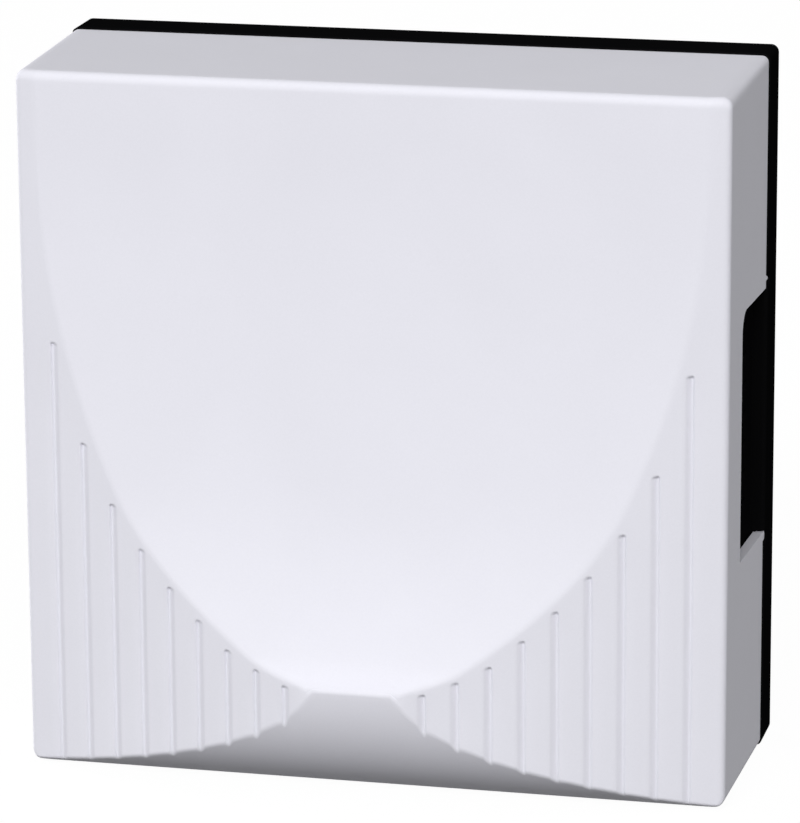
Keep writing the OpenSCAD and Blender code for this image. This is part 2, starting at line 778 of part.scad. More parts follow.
// Bent strip: a web on the tray's bosses, two legs round the spool, and an ear on each side of the web
module coil_yoke() {
    leg_top = coil_z + yoke_w / 2;
    bend_out = yoke_bend + yoke_t;
    color("#8b8f94") on_wall() difference() {
        union() {
            intersection() {
                plan_extrude() difference() {
                    translate([-leg_out_x, boss_top]) square([2 * leg_out_x, leg_top - boss_top]);
                    difference() {
                        translate([-leg_x, web_top]) square([2 * leg_x, reach]);
                        mirrored_x()
                            corner_cut([leg_x, web_top], [leg_x, reach], [0, web_top], yoke_bend);
                    }
                    mirrored_x()
                        corner_cut([leg_out_x, boss_top], [leg_out_x, reach], [0, boss_top], bend_out);
                }
                side_extrude() {
                    translate([boss_top, -yoke_w / 2]) square([coil_z - boss_top, yoke_w]);
                    translate([coil_z, 0]) circle(yoke_w / 2);
                }
            }
            translate([0, 0, boss_top]) linear_extrude(yoke_t) {
                square([ear_w, 2 * ear_y], center = true);
                for (s = [-1, 1]) translate([0, s * ear_y]) circle(ear_w / 2);
            }
        }
        translate([-reach / 2, 0, coil_z]) along_x() cylinder(h = reach, r = bore_r);
        for (s = [-1, 1])
            translate([0, s * ear_y, 0]) cylinder(h = web_top + past, r = screw_r + fit_gap);
    }
}

// Pan-head screw with a cross slot, its head standing on z = 0
module screw(shank_r, len, r, h) {
    difference() {
        union() {
            translate([0, 0, -len]) cylinder(h = len + past / 2, r = shank_r);
            rotate_extrude() difference() {
                square([r, h]);
                corner_cut([r, h], [r, 0], [0, h], h / 2);
            }
        }
        for (a = [0, 90])
            rotate(a) translate([-r * driver_reach, -driver_w / 2, h - driver_depth])
                cube([2 * r * driver_reach, driver_w, reach]);
    }
}

module yoke_screws() {
    color("#c3c5c8") on_wall()
        for (s = [-1, 1])
            translate([0, s * ear_y, web_top]) screw(screw_r, yoke_screw_len, head_r, head_h);
}

module plunger_core() {
    bore = spigot_r + fit_gap;
    neck = plunger_r - plunger_chamfer;
    color("#aeb2b6") on_wall() translate([core_left, 0, coil_z]) along_x() difference() {
        rotate_extrude() difference() {
            polygon([[0, 0], [neck, 0], [plunger_r, plunger_chamfer],
                     [plunger_r, plunger_len - plunger_chamfer], [neck, plunger_len], [0, plunger_len]]);
            translate([plunger_r - clip_groove, clip_margin - fit_gap])
                square([reach, spring_clip_t + 2 * fit_gap]);
        }
        translate([0, 0, -past]) cylinder(h = spigot_len + fit_gap + past, r = bore);
        translate([0, 0, plunger_len - spigot_len - fit_gap]) cylinder(h = reach, r = bore);
    }
}

// Round-nosed nylon hammer with a spigot, standing on z = 0
module striker(len) {
    translate([0, 0, -spigot_len]) cylinder(h = spigot_len + past, r = spigot_r);
    cylinder(h = len - striker_r, r = striker_r);
    translate([0, 0, len - striker_r]) sphere(striker_r);
}

module left_striker() {
    color("#efece2") on_wall() translate([core_left, 0, coil_z]) rotate([0, -90, 0])
        striker(core_left - left_tip);
}

module right_striker() {
    color("#efece2") on_wall() translate([core_right, 0, coil_z]) along_x()
        striker(right_tip - core_right);
}

// Open ring that snaps into the plunger's groove
module spring_clip() {
    inner_r = plunger_r - clip_groove + fit_gap;
    mouth = inner_r * clip_mouth;
    color("#6f7276") on_wall() translate([spring_clip_x - spring_clip_t, 0, coil_z]) along_x() difference() {
        ring(spring_clip_r, inner_r, spring_clip_t);
        translate([0, -mouth, -past]) cube([reach, 2 * mouth, reach]);
    }
}

// Directions along a path of points, and one that is never parallel to them
function cross_dir(dir) = abs(dir[0]) < 0.9 ? [1, 0, 0] : [0, 1, 0];
function path_dir(path, i) = unit(path[min(i + 1, len(path) - 1)] - path[max(i - 1, 0)]);

// Sweeps a round tube along points; each ring stands square to the path
module tube(path, r, sides) {
    last = len(path) - 1;
    points = [for (i = [0 : last])
        let (d = path_dir(path, i), u = unit(cross(d, cross_dir(d))), v = cross(d, u))
        for (k = [0 : sides - 1])
            path[i] + r * (cos(360 * k / sides) * u + sin(360 * k / sides) * v)];
    walls = [for (i = [0 : last - 1], k = [0 : sides - 1])
        let (a = i * sides + k, b = i * sides + (k + 1) % sides)
        each [[a, a + sides, b], [b, a + sides, b + sides]]];
    ends = [for (k = [1 : sides - 2])
        each [[0, k, k + 1], last * sides * [1, 1, 1] + [0, k + 1, k]]];
    polyhedron(points, concat(walls, ends));
}

// Spring wire, as points along its middle: the end turns lie closer together
spring_steps = 8;
spring_run = spring_len - spring_wire;
spring_mid_pitch = (spring_run - 2 * spring_end_pitch) / (spring_turns - 2);
function spring_rise(t) =
    t < 1 ? t * spring_end_pitch :
    t > spring_turns - 1 ? spring_run - (spring_turns - t) * spring_end_pitch :
    spring_end_pitch + (t - 1) * spring_mid_pitch;
spring_path = [for (i = [0 : spring_turns * spring_steps])
    let (t = i / spring_steps)
    [spring_x - spring_wire / 2 - spring_rise(t), spring_r * cos(360 * t), coil_z + spring_r * sin(360 * t)]];
spring_end = len(spring_path) - 1;
spring_least_gap = min([for (i = [0 : spring_end], j = [i + spring_steps / 2 : spring_end])
    norm(spring_path[i] - spring_path[j])]) - spring_wire;
echo(spring_least_gap = spring_least_gap);

module return_spring() {
    color("#c8cacc") on_wall() tube(spring_path, spring_wire / 2, 6);
}

module terminal_block() {
    floor_z = floor_t;
    top_z = floor_z + block_depth;
    color("#d8d3c4") on_wall() translate([0, -block_y, 0]) difference() {
        union() {
            translate([-block_w / 2, -block_h / 2, floor_z]) cube([block_w, block_h, block_depth]);
            for (i = [0 : ways])
                translate([(i - ways / 2) * way_pitch - partition_t / 2, -block_h / 2, floor_z])
                    cube([partition_t, block_h, block_depth + partition_h]);
            translate([0, 0, floor_z]) linear_extrude(block_ear_t) {
                square([2 * block_ear_x, block_ear_w], center = true);
                for (s = [-1, 1]) translate([s * block_ear_x, 0]) circle(block_ear_w / 2);
            }
        }
        for (i = [0 : ways - 1]) translate([(i - (ways - 1) / 2) * way_pitch, 0, floor_z]) {
            translate([0, reach / 2, clamp_z]) rotate([90, 0, 0]) cylinder(h = reach, r = clamp_r + fit_gap);
            translate([0, 0, clamp_z]) cylinder(h = reach, r = clamp_head_r + fit_gap);
        }
        for (s = [-1, 1])
            translate([s * block_ear_x, 0, floor_z - past])
                cylinder(h = block_ear_t + 2 * past, r = screw_r + fit_gap);
    }
}

// Brass barrels, each with a hole for the bell wire below and, at the ends of the row, one for a lead above
module terminal_clamps() {
    len = block_h - 2 * clamp_inset;
    color("#c9a44c") on_wall()
        for (i = [0 : ways - 1])
            translate([(i - (ways - 1) / 2) * way_pitch, -block_y, floor_t + clamp_z]) difference() {
                rotate([90, 0, 0]) cylinder(h = len, r = clamp_r, center = true);
                translate([0, clamp_bore_len - len / 2, 0]) rotate([90, 0, 0])
                    cylinder(h = reach, r = clamp_bore_r);
                if (i % (ways - 1) == 0)
                    translate([0, len / 2 - lead_in - fit_gap, 0]) rotate([-90, 0, 0])
                        cylinder(h = reach, r = lead_r + fit_gap);
                cylinder(h = reach, r = clamp_screw_r + fit_gap);
            }
}

module terminal_screws() {
    head_z = floor_t + block_depth - clamp_head_h / 2;
    len = head_z - floor_t - clamp_z - clamp_bore_r - fit_gap;
    color("#c3c5c8") on_wall()
        for (i = [0 : ways - 1])
            translate([(i - (ways - 1) / 2) * way_pitch, -block_y, head_z])
                screw(clamp_screw_r, len, clamp_head_r, clamp_head_h);
}

module block_screws() {
    color("#c3c5c8") on_wall()
        for (s = [-1, 1])
            translate([s * block_ear_x, -block_y, floor_t + block_ear_t])
                screw(screw_r, block_screw_len, head_r, head_h);
}

// Insulated wires, each a smooth bend from a lead pin to the outer terminal on its side
lead_steps = 14;
function bezier(p, t) =
    pow(1 - t, 3) * p[0] + 3 * t * pow(1 - t, 2) * p[1] + 3 * t * t * (1 - t) * p[2] + pow(t, 3) * p[3];
lead_from = [(spool_len - flange_t) / 2, -(flange_r + pin_out + fit_gap), coil_z];
lead_mouth = [(ways - 1) / 2 * way_pitch, -(block_y - block_h / 2 + clamp_inset), floor_t + clamp_z];
lead_ends = [lead_from, lead_from - [0, lead_bend, 0], lead_mouth + [0, lead_bend, 0], lead_mouth];
lead_path = concat([for (i = [0 : lead_steps]) bezier(lead_ends, i / lead_steps)],
                   [lead_mouth - [0, lead_in, 0]]);

module coil_leads() {
    color("#b3302a") on_wall() mirrored_x() tube(lead_path, lead_r, 8);
}

base_plate();
cover();
left_tone_plate();
right_tone_plate();
left_plate_grommets();
right_plate_grommets();
left_plate_clips();
right_plate_clips();
coil_bobbin();
coil_winding();
coil_tape();
lead_pins();
guide_tube();
coil_yoke();
yoke_screws();
plunger_core();
left_striker();
right_striker();
spring_clip();
return_spring();
terminal_block();
terminal_clamps();
terminal_screws();
block_screws();
coil_leads();
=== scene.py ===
import json
import math

import bmesh
import bpy
from mathutils import Matrix, Vector

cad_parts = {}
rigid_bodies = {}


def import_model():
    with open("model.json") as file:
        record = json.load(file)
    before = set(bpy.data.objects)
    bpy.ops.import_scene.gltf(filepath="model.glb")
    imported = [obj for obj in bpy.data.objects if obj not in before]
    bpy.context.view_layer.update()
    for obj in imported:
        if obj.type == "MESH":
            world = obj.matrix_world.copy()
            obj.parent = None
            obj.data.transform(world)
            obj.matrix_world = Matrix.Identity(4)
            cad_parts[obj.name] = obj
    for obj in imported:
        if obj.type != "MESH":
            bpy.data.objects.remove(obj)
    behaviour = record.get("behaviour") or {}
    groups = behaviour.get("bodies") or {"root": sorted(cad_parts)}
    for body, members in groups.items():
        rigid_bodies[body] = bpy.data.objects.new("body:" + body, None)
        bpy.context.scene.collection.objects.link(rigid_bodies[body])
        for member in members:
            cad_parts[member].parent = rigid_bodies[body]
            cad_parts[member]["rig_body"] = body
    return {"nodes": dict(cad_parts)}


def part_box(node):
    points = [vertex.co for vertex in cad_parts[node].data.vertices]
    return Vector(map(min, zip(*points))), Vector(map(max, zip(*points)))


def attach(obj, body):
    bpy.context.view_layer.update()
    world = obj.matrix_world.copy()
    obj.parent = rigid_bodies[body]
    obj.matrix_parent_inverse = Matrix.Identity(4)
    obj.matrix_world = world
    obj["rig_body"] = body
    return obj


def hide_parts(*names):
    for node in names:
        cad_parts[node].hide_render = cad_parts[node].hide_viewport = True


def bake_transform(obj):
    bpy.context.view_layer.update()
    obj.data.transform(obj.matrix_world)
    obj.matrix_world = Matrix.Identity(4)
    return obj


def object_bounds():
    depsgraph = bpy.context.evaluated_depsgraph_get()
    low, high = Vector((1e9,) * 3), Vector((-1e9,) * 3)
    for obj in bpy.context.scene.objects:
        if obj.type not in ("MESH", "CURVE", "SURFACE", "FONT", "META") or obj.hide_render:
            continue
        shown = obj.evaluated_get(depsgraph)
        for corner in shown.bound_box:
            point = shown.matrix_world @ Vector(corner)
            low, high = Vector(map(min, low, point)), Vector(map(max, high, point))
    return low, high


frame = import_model()
cad_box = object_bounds()
MM = 0.001

# Camera: a long lens, from the right of the box and a little above it, as a catalogue picture is taken.
# It looks at a point just in front of the wall, and leans by less than half a degree.
camera_azimuth = math.radians(13.39)
camera_elevation = math.radians(15.094)
camera_roll = math.radians(-0.368)
camera_distance = 918.4 * MM
camera_target = Vector((-0.82, -20.0, -1.86)) * MM
focal_pixels = 5028.9
picture_height = 823

camera_data = bpy.data.cameras.new("camera")
camera_data.lens = focal_pixels * camera_data.sensor_width / picture_height
camera_data.clip_start = 0.01
camera = bpy.data.objects.new("camera", camera_data)
bpy.context.scene.collection.objects.link(camera)
bpy.context.scene.camera = camera
from_target = Vector((math.sin(camera_azimuth) * math.cos(camera_elevation),
                      -math.cos(camera_azimuth) * math.cos(camera_elevation),
                      math.sin(camera_elevation)))
look = from_target.to_track_quat("Z", "Y").to_matrix().to_4x4()
camera.matrix_world = (Matrix.Translation(camera_target + camera_distance * from_target)
                       @ look @ Matrix.Rotation(camera_roll, 4, "Z"))


# Stage: a floor under the tray's bottom edge and a white surround.
# Both show as white, and the floor keeps the shadow of the box.
class Shade:
    """An output of one node in a material, which joins in sums as a number does."""

    def __init__(self, tree, socket=None):
        self.tree = tree
        self.socket = socket

    def node(self, kind, settings=None, inputs=None, out=0):
        """Adds a node, sets it up, feeds its inputs with values or links, and gives an output."""
        added = self.tree.nodes.new(kind)
        for name, value in (settings or {}).items():
            if name == "stops":
                for element, (place, colour) in zip(added.color_ramp.elements, value):
                    element.position = place
                    element.color = (*colour, 1)
            else:
                setattr(added, name, value)
        for name, value in (inputs or {}).items():
            if isinstance(value, Shade):
                self.tree.links.new(value.socket, added.inputs[name])
            else:
                added.inputs[name].default_value = value
        return Shade(self.tree, added.outputs[out])

    def into(self, surface, name):
        self.tree.links.new(self.socket, surface.inputs[name])

    def sum_with(self, operation, first, second):
        return self.node("ShaderNodeMath", {"operation": operation}, {0: first, 1: second})

    def __add__(self, other):
        return self.sum_with("ADD", self, other)

    def __radd__(self, other):
        return self.sum_with("ADD", other, self)

    def __mul__(self, other):
        return self.sum_with("MULTIPLY", self, other)

    def __rmul__(self, other):
        return self.sum_with("MULTIPLY", other, self)


def new_material(name):
    material = bpy.data.materials.new(name)
    material.use_nodes = True
    return material, material.node_tree.nodes["Principled BSDF"], Shade(material.node_tree)


def seen_directly(shade):
    """1 for what the camera, a mirror or clear glass sees, and 0 for what only lights the object."""
    rays = [shade.node("ShaderNodeLightPath", out="Is %s Ray" % name)
            for name in ("Camera", "Glossy", "Transmission")]
    return shade.node("ShaderNodeClamp", inputs={"Value": rays[0] + rays[1] + rays[2]})


def new_object(name, mesh, material):
    """Links a finished bmesh into the scene as an object with one material."""
    data = bpy.data.meshes.new(name)
    mesh.to_mesh(data)
    mesh.free()
    data.materials.append(material)
    made = bpy.data.objects.new(name, data)
    bpy.context.scene.collection.objects.link(made)
    return made


surround_light = 0.19
world = bpy.data.worlds.new("surround")
bpy.context.scene.world = world
world.use_nodes = True
backdrop = world.node_tree.nodes["Background"]
(seen_directly(Shade(world.node_tree)) * (1 - surround_light) + surround_light).into(backdrop, "Color")

floor_half = 3.0
floor_glow = 0.97
floor_paint, floor_surface, floor_shade = new_material("floor_paint")
floor_surface.inputs["Base Color"].default_value = (0.04, 0.04, 0.04, 1)
floor_surface.inputs["Roughness"].default_value = 0.9
floor_surface.inputs["Specular IOR Level"].default_value = 0.0
floor_surface.inputs["Emission Strength"].default_value = 1.0
(seen_directly(floor_shade) * floor_glow).into(floor_surface, "Emission Color")
floor_mesh = bmesh.new()
bmesh.ops.create_grid(floor_mesh, x_segments=8, y_segments=8, size=floor_half,
                      matrix=Matrix.Translation((0, 0, cad_box[0][2])))
new_object("floor", floor_mesh, floor_paint)

# Lamps: soft boxes in front of the chime, above it, at each side, and behind its left.
# Each is a flat panel of light that faces the point that the camera looks at.
lamp_distance = 6.0
lamps = [
    ("front", (0, 5), (4.4, 1.4), 92.0),
    ("above", (0, 35), (4.4, 1.4), 244.0),
    ("right", (70, 26), (4.8, 2.4), 78.0),
    ("left", (-70, 12), (4.8, 2.4), 57.0),
    ("behind", (-118, 3), (2.4, 0.6), 240.0),
]
for name, (azimuth, elevation), size, power in lamps:
    lamp_data = bpy.data.lights.new("lamp_" + name, "AREA")
    lamp_data.shape = "RECTANGLE"
    lamp_data.size, lamp_data.size_y = size
    lamp_data.energy = power
    lamp = bpy.data.objects.new("lamp_" + name, lamp_data)
    bpy.context.scene.collection.objects.link(lamp)
    around, up = math.radians(azimuth), math.radians(elevation)
    towards = Vector((math.sin(around) * math.cos(up), -math.cos(around) * math.cos(up), math.sin(up)))
    lamp.matrix_world = (Matrix.Translation(camera_target + lamp_distance * towards)
                         @ towards.to_track_quat("Z", "Y").to_matrix().to_4x4())
bpy.context.scene.view_settings.view_transform = "Standard"


# Tray: one black ABS moulding, with the rim that shows round the cover and the screens behind its notches.
# It is screwed flat to the wall and carries everything else.
def tinted(value, colour, dark, light, low=0.3, high=0.7):
    """A colour that runs from a darker to a lighter shade of itself as a value runs from low to high."""
    stops = [(low, [dark * channel for channel in colour]),
             (high, [light * channel for channel in colour])]
    return value.node("ShaderNodeValToRGB", {"stops": stops}, {"Fac": value})


def moulded_plastic(name, colour, roughness, specular, grain, grain_depth):
    """Moulded plastic: a fine spark-eroded grain, and a faint mottle in its gloss and colour."""
    cloud_scale = 45.0
    gloss_spread = 0.12
    material, surface, shade = new_material(name)
    place = shade.node("ShaderNodeTexCoord", out="Object")
    fine = shade.node("ShaderNodeTexNoise", inputs={"Vector": place, "Scale": 1 / grain, "Detail": 3.0,
                                                    "Roughness": 0.6})
    cloudy = shade.node("ShaderNodeTexNoise", inputs={"Vector": place, "Scale": cloud_scale, "Detail": 2.0})
    mottle = 0.5 * cloudy + 0.5 * fine
    tinted(mottle, colour, dark=0.975, light=1.015).into(surface, "Base Color")
    (roughness - gloss_spread / 2 + gloss_spread * mottle).into(surface, "Roughness")
    shade.node("ShaderNodeBump", inputs={"Height": fine, "Strength": 0.5,
                                         "Distance": grain_depth}).into(surface, "Normal")
    surface.inputs["Specular IOR Level"].default_value = specular
    return material


def dress(node, material):
    """Gives a solid of the frame its finish."""
    solid = frame["nodes"][node]
    solid.data.materials.clear()
    solid.data.materials.append(material)


tray_plastic = moulded_plastic("tray_black", (0.0040, 0.0040, 0.0044), roughness=0.6, specular=0.0,
                               grain=0.35 * MM, grain_depth=0.02 * MM)
dress("base_plate", tray_plastic)


# Tone plates: two bars sheared from bright steel, each tuned by its length, the left one lower.
# Their long edges are tumbled, and each hangs on two pegs of the tray, free to ring.
def worked_metal(name, colour, roughness, lines):
    """Metal with the marks of rolling, drawing or turning; lines is how fast they change each way."""
    cloud_scale = 110.0
    gloss_spread = 0.2
    mark_depth = 0.006 * MM
    material, surface, shade = new_material(name)
    place = shade.node("ShaderNodeTexCoord", out="Object")
    along = shade.node("ShaderNodeVectorMath", {"operation": "MULTIPLY"}, {0: place, 1: lines})
    streaks = shade.node("ShaderNodeTexNoise", inputs={"Vector": along, "Scale": 1.0, "Detail": 4.0})
    cloudy = shade.node("ShaderNodeTexNoise", inputs={"Vector": place, "Scale": cloud_scale, "Detail": 3.0})
    mottle = 0.65 * streaks + 0.35 * cloudy
    tinted(mottle, colour, dark=0.84, light=1.08).into(surface, "Base Color")
    (roughness - gloss_spread / 2 + gloss_spread * mottle).into(surface, "Roughness")
    shade.node("ShaderNodeBump", inputs={"Height": streaks, "Strength": 0.4,
                                         "Distance": mark_depth}).into(surface, "Normal")
    surface.inputs["Metallic"].default_value = 1.0
    return material


def softened(node, material, width):
    """A copy of a solid with its sharp edges rounded, which stands for the solid and moves with it."""
    weld = 0.001 * MM
    flat_angle = math.radians(0.5)
    sharp_angle = math.radians(40)
    solid = frame["nodes"][node]
    mesh = bmesh.new()
    mesh.from_mesh(solid.data)
    bmesh.ops.remove_doubles(mesh, verts=mesh.verts, dist=weld)
    bmesh.ops.dissolve_limit(mesh, angle_limit=flat_angle, verts=mesh.verts, edges=mesh.edges)
    sharp = [edge for edge in mesh.edges
             if len(edge.link_faces) == 2 and edge.calc_face_angle() > sharp_angle]
    bmesh.ops.bevel(mesh, geom=sharp, offset=width, offset_type="OFFSET", affect="EDGES", segments=2,
                    profile=0.5, material=-1)
    piece = new_object(node + "_dressed", mesh, material)
    piece.data.shade_smooth()
    piece.data.set_sharp_from_angle(angle=math.radians(35))
    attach(piece, solid["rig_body"])
    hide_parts(node)


tone_steel = worked_metal("bright_bar", (0.55, 0.56, 0.58), roughness=0.3, lines=(9000, 9000, 250))
softened("left_tone_plate", tone_steel, width=0.3 * MM)
softened("right_tone_plate", tone_steel, width=0.3 * MM)

# Grommets and clips: soft black rubber bushes that let the plates ring, and thin toothed steel washers.
# The washers are pushed over the pegs by hand and bite into them.
rubber = moulded_plastic("black_rubber", (0.028, 0.028, 0.028), roughness=0.75, specular=0.3,
                         grain=0.25 * MM, grain_depth=0.03 * MM)
clip_steel = worked_metal("blued_steel", (0.30, 0.30, 0.32), roughness=0.36, lines=(2500, 2500, 2500))
for side in ("left", "right"):
    softened(side + "_plate_grommets", rubber, width=0.2 * MM)
    dress(side + "_plate_clips", clip_steel)

# Coil: a moulded nylon spool wound with enamelled copper and wrapped in amber tape, on a drawn brass tube.
# The winding's ends are soldered to two brass pins pressed into the spool's flanges.
spool_nylon = moulded_plastic("natural_nylon", (0.78, 0.73, 0.60), roughness=0.45, specular=0.4,
                              grain=0.6 * MM, grain_depth=0.01 * MM)
softened("coil_bobbin", spool_nylon, width=0.25 * MM)


def wound(name, colour, roughness, pitch, profile, height):
    """A wound surface: turns side by side along the coil's axis, with painted shade in the dip between
    turns and a random tone.
    """
    waves_per_scale = 20 / (2 * math.pi)
    cloud_scale = 160.0
    gloss_spread = 0.16
    material, surface, shade = new_material(name)
    place = shade.node("ShaderNodeTexCoord", out="Object")
    turns = shade.node("ShaderNodeTexWave", {"wave_profile": profile},
                       {"Vector": place, "Scale": 1 / (waves_per_scale * pitch), "Distortion": 0.4,
                        "Detail Scale": 30.0}, out="Fac")
    cloudy = shade.node("ShaderNodeTexNoise", inputs={"Vector": place, "Scale": cloud_scale, "Detail": 3.0})
    # The colour follows the turns' height, lighter on each crown and darker in the dip between turns:
    # painted shade, mixed with a random tone.
    tinted(0.4 * turns + 0.6 * cloudy, colour, dark=0.8, light=1.1).into(surface, "Base Color")
    (roughness - gloss_spread / 2 + gloss_spread * cloudy).into(surface, "Roughness")
    shade.node("ShaderNodeBump", inputs={"Height": turns, "Strength": 0.8,
                                         "Distance": height}).into(surface, "Normal")
    return material, surface


# The copper's turns and the tape's laps both carry painted shade in the dips between them.
winding_copper, winding_surface = wound("enamelled_copper", (0.55, 0.21, 0.07), roughness=0.3,
                                        pitch=0.3 * MM, profile="SIN", height=0.1 * MM)
winding_surface.inputs["Metallic"].default_value = 0.85
dress("coil_winding", winding_copper)
amber_tape, tape_surface = wound("amber_tape", (0.62, 0.38, 0.05), roughness=0.28,
                                 pitch=7.5 * MM, profile="SAW", height=0.06 * MM)
tape_surface.inputs["Coat Weight"].default_value = 0.3
softened("coil_tape", amber_tape, width=0.12 * MM)
brass = worked_metal("drawn_brass", (0.68, 0.48, 0.17), roughness=0.3, lines=(6000, 6000, 6000))
dress("lead_pins", brass)
dress("guide_tube", brass)

# Yoke: a strip of zinc plated steel, bent to a U round the spool, with two ears.
# It closes the magnet's path and is held to the tray's bosses by two pan-head screws.
yoke_steel = worked_metal("plated_sheet", (0.50, 0.51, 0.49), roughness=0.38, lines=(300, 6000, 6000))
softened("coil_yoke", yoke_steel, width=0.2 * MM)
screw_steel = worked_metal("plated_screw", (0.58, 0.59, 0.60), roughness=0.28, lines=(3500, 3500, 3500))
dress("yoke_screws", screw_steel)

# Plunger: a turned and plated steel rod with a nylon hammer pressed into each end.
# A snap ring in its groove takes the push of the return spring.
plunger_steel = worked_metal("turned_steel", (0.50, 0.51, 0.53), roughness=0.26, lines=(14000, 120, 120))
striker_nylon = moulded_plastic("hammer_nylon", (0.80, 0.77, 0.68), roughness=0.42, specular=0.4,
                                grain=0.6 * MM, grain_depth=0.01 * MM)
softened("plunger_core", plunger_steel, width=0.12 * MM)
dress("left_striker", striker_nylon)
dress("right_striker", striker_nylon)
softened("spring_clip", clip_steel, width=0.12 * MM)


# Return spring: six turns of drawn wire with close end turns, between the yoke's leg and the snap ring.
# On the real chime its right end stays on the yoke and its left end follows the plunger; here it is drawn
# once, at rest.
def swept_tube(path, radius, sides):
    """A round tube along a path, closed at both ends, with rings that don't twist."""
    mesh = bmesh.new()
    rings = []
    across = Vector((0, 0, 1))
    turns = [2 * math.pi * index / sides for index in range(sides)]
    for step, point in enumerate(path):
        along = (path[min(step + 1, len(path) - 1)] - path[max(step - 1, 0)]).normalized()
        across = (across - along * across.dot(along)).normalized()
        other = along.cross(across)
        rings.append([mesh.verts.new(point + radius * (math.cos(turn) * across + math.sin(turn) * other))
                      for turn in turns])
    for first, second in zip(rings, rings[1:]):
        for index in range(sides):
            after = (index + 1) % sides
            mesh.faces.new((first[index], first[after], second[after], second[index]))
    mesh.faces.new(reversed(rings[0]))
    mesh.faces.new(rings[-1])
    bmesh.ops.recalc_face_normals(mesh, faces=mesh.faces)
    return mesh


spring_low, spring_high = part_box("return_spring")
spring_wire = 0.6 * MM
spring_turns = 6
spring_close = 1.1 * MM
turn_steps = 40
wire_sides = 12
coil_depth = -(spring_low.y + spring_high.y) / 2
spring_radius = (spring_high.z - spring_low.z - spring_wire) / 2
spring_run = spring_high.x - spring_low.x - spring_wire
spring_open = (spring_run - 2 * spring_close) / (spring_turns - 2)
spring_path = []
for step in range(spring_turns * turn_steps + 1):
    turn = step / turn_steps
    if turn < 1:
        advance = turn * spring_close
    elif turn > spring_turns - 1:
        advance = spring_run - (spring_turns - turn) * spring_close
    else:
        advance = spring_close + (turn - 1) * spring_open
    angle = 2 * math.pi * turn
    spring_path.append(Vector((spring_high.x - spring_wire / 2 - advance,
                               -coil_depth - spring_radius * math.sin(angle),
                               spring_radius * math.cos(angle))))
spring_steel = worked_metal("spring_wire", (0.58, 0.58, 0.60), roughness=0.24, lines=(4000, 4000, 4000))
spring = new_object("spring_wire", swept_tube(spring_path, spring_wire / 2, wire_sides), spring_steel)
spring.data.shade_smooth()
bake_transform(spring)
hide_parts("return_spring")

# Terminal block: a cream moulding screwed to the tray, with walls between its three ways.
# Each way holds a brass barrel with a clamp screw, for the bell wires from the wall.
block_plastic = moulded_plastic("cream_plastic", (0.68, 0.65, 0.55), roughness=0.42, specular=0.4,
                                grain=0.5 * MM, grain_depth=0.012 * MM)
softened("terminal_block", block_plastic, width=0.25 * MM)
dress("terminal_clamps", brass)
dress("terminal_screws", screw_steel)
dress("block_screws", screw_steel)

# Coil leads: two red insulated wires, soldered to the spool's pins and clamped in the outer barrels.
# Each leaves its pin straight down, bends back towards the tray and goes straight into its barrel.
lead_radius = 0.8 * MM
lead_bend = 9.0 * MM
lead_straight = 2.0 * MM
lead_steps = 40
lead_sides = 16
leads_low, leads_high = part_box("coil_leads")
pin_side = leads_high.x - lead_radius
mouth_side = 11.0 * MM
pin_end = Vector((pin_side, -coil_depth, leads_high.z))
mouth = Vector((mouth_side, leads_high.y - lead_radius, leads_low.z + lead_straight))
down = Vector((0, 0, -1))
bends = [pin_end, pin_end + lead_bend * down, mouth - lead_bend * down, mouth]
lead_path = []
for step in range(lead_steps + 1):
    far = step / lead_steps
    near = 1 - far
    shares = (near ** 3, 3 * far * near ** 2, 3 * far ** 2 * near, far ** 3)
    lead_path.append(sum((share * bend for share, bend in zip(shares, bends)), Vector()))
lead_path.append(mouth + lead_straight * down)
insulation = moulded_plastic("red_insulation", (0.45, 0.03, 0.02), roughness=0.3, specular=0.5,
                             grain=0.8 * MM, grain_depth=0.01 * MM)
leads = swept_tube(lead_path, lead_radius, lead_sides)
bmesh.ops.mirror(leads, geom=leads.verts[:] + leads.edges[:] + leads.faces[:], axis="X", merge_dist=0)
bmesh.ops.recalc_face_normals(leads, faces=leads.faces)
lead_pair = new_object("lead_pair", leads, insulation)
lead_pair.data.shade_smooth()
lead_pair.data.set_sharp_from_angle(angle=math.radians(50))
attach(lead_pair, "base")
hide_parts("coil_leads")

# Cover: one white ABS moulding, 1.8 mm thick, that presses on over the tray's lip.
# The panel curls forward to a lip, grooved facets fall away beside it, and the underside is scooped out.
seam_depth = 9.6 * MM
wall = 1.8 * MM
draft = math.tan(math.radians(0.5))
edge_depth = 46.4 * MM
seam_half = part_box("cover")[1].x
edge_half = seam_half - draft * (edge_depth - seam_depth)
side_round = 1.0 * MM
top_round = 1.6 * MM
bottom_round = 0.25 * MM
front_corner = 2.0 * MM
edge_guard = 0.4 * MM
seam_corner = 1.2 * MM
cut_soft = 0.25 * MM
cut_angle = math.radians(60)

facet_slope = math.tan(math.radians(15.6))
panel_rise = 1.1 * MM
lip_height = 22.3 * MM
panel_arcs = [
    (478 * MM, math.radians(7.2)),
    (115 * MM, math.radians(22.0)),
    (9.4 * MM, math.radians(57.5)),
]
underside_bulge = 3.45 * MM
underside_limit = 0.98
crease_width = 0.65 * MM
underside_width = 0.5 * MM
lip_soft = 1.05 * MM

groove_first = 12.75 * MM
groove_pitch = 5.67 * MM
groove_tops = [-42.0, -39.9, -37.1, -32.4, -27.1, -20.8, -13.2, -2.6, 15.4]
groove_end = 0.8 * MM
groove_sink = 0.6 * MM
groove_inner = 1.25 * MM
groove_outer = 0.52 * MM
groove_round = 0.5 * MM
shoulder_sink = 0.28 * MM
shoulder_width = 2.4 * MM
shoulder_end = 7.0 * MM

